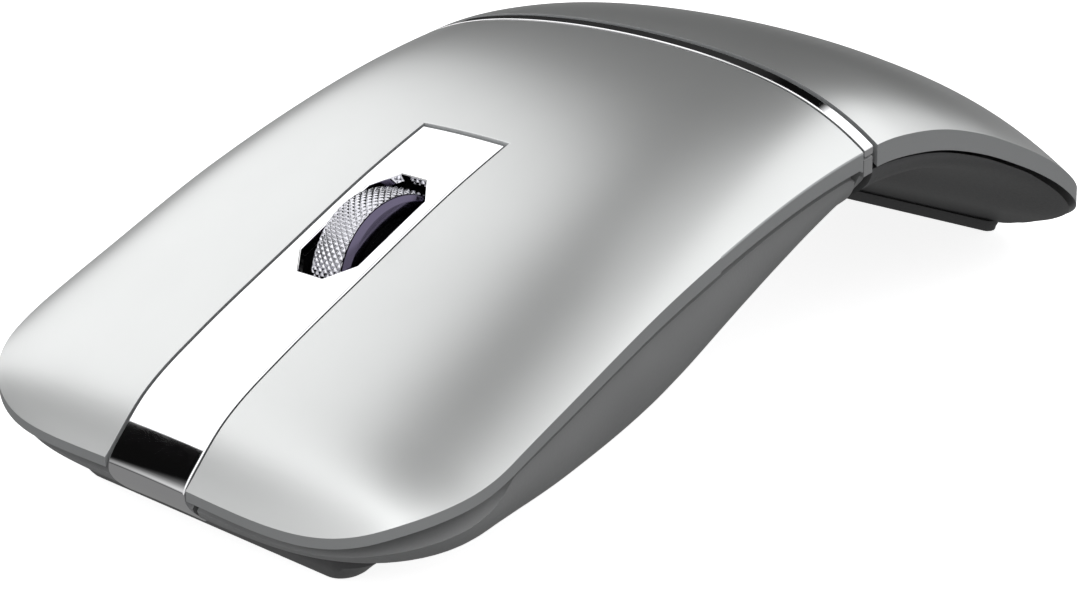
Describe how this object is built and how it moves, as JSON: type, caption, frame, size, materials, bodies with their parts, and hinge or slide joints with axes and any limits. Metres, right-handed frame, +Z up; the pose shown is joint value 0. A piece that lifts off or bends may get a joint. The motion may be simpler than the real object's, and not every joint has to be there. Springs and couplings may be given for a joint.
{
  "type": "computer mouse",
  "caption": "Low arched wireless computer mouse with a mirror strip and scroll wheel between its keys; the tail twists flat at a seam across the back.",
  "frame": {"origin": "on the desk, under the middle of the bounding box", "axes": "-Y towards the nose with the keys, +Y towards the tail, +Z up, +X to the user's left"},
  "size_m": [0.0598, 0.0994, 0.0294],
  "materials": {
    "satin_silver": "satin",
    "mirror_chrome": "mirror polished",
    "grey_plastic": "fine matt texture",
    "wheel_chrome": "knurled and polished",
    "black_gloss": "glossy",
    "steel": "turned",
    "bronze": "plain",
    "dark_plastic": "matt",
    "foot_rubber": "smooth, slippery",
    "board_green": "lacquered",
    "clear_plastic": "clear",
    "white_plastic": "plain",
    "battery_foil": "foil"
  },
  "bodies": {
    "base": {"base_shell": "grey_plastic", "palm_cover": "satin_silver", "centre_strip": "mirror_chrome", "strip_frame": "black_gloss", "seam_band": "mirror_chrome", "seam_collar": "grey_plastic", "pivot_bush": "bronze", "thrust_washer": "steel", "wave_spring": "steel", "circuit_board": "board_green", "motion_sensor": "dark_plastic", "sensor_lens": "clear_plastic", "left_switch": "dark_plastic", "right_switch": "dark_plastic", "middle_switch": "dark_plastic", "scroll_encoder": "dark_plastic", "power_switch": "dark_plastic", "charging_socket": "steel", "battery_pack": "battery_foil", "case_screw_front": "steel", "case_screw_left": "steel", "case_screw_right": "steel", "front_foot": "foot_rubber"},
    "left_key": {"left_button": "satin_silver", "left_plunger": "white_plastic"},
    "right_key": {"right_button": "satin_silver", "right_plunger": "white_plastic"},
    "cradle": {"wheel_cradle": "dark_plastic", "middle_plunger": "white_plastic"},
    "wheel": {"wheel_tread": "wheel_chrome", "wheel_rim_left": "mirror_chrome", "wheel_rim_right": "mirror_chrome", "wheel_hub": "black_gloss", "wheel_axle": "steel"},
    "tail": {"tail_cover": "satin_silver", "tail_shell": "grey_plastic", "tail_bulkhead": "dark_plastic", "pivot_shaft": "steel", "retaining_clip": "steel", "rear_foot": "foot_rubber"},
    "slider": {"power_slider": "black_gloss"}
  },
  "joints": [
    {"name": "left_button_press", "type": "hinge", "parent": "base", "child": "left_key", "pos_m": [0.017, -0.01272, 0.02256], "axis": [1, 0, 0], "range_deg": [0, 1.2], "stiffness_Nm_per_rad": 0.4, "springref_deg": -1.15},
    {"name": "right_button_press", "type": "hinge", "parent": "base", "child": "right_key", "pos_m": [-0.017, -0.01272, 0.02256], "axis": [1, 0, 0], "range_deg": [0, 1.2], "stiffness_Nm_per_rad": 0.4, "springref_deg": -1.15},
    {"name": "wheel_click", "type": "hinge", "parent": "base", "child": "cradle", "pos_m": [0, -0.01469, 0.01449], "axis": [1, 0, 0], "range_deg": [0, 1.6], "stiffness_Nm_per_rad": 0.12, "springref_deg": -1.72},
    {"name": "wheel_spin", "type": "hinge", "parent": "cradle", "child": "wheel", "pos_m": [0, -0.02285, 0.01532], "axis": [1, 0, 0], "continuous": true},
    {"name": "tail_twist", "type": "hinge", "parent": "base", "child": "tail", "pos_m": [0, 0.00649, 0.02307], "axis": [0, 0.9966, -0.0828], "range_deg": [0, 180]},
    {"name": "power_slide", "type": "slide", "parent": "base", "child": "slider", "axis": [0, 0.9966, -0.0828], "range_m": [0, 0.0025]}
  ]
}
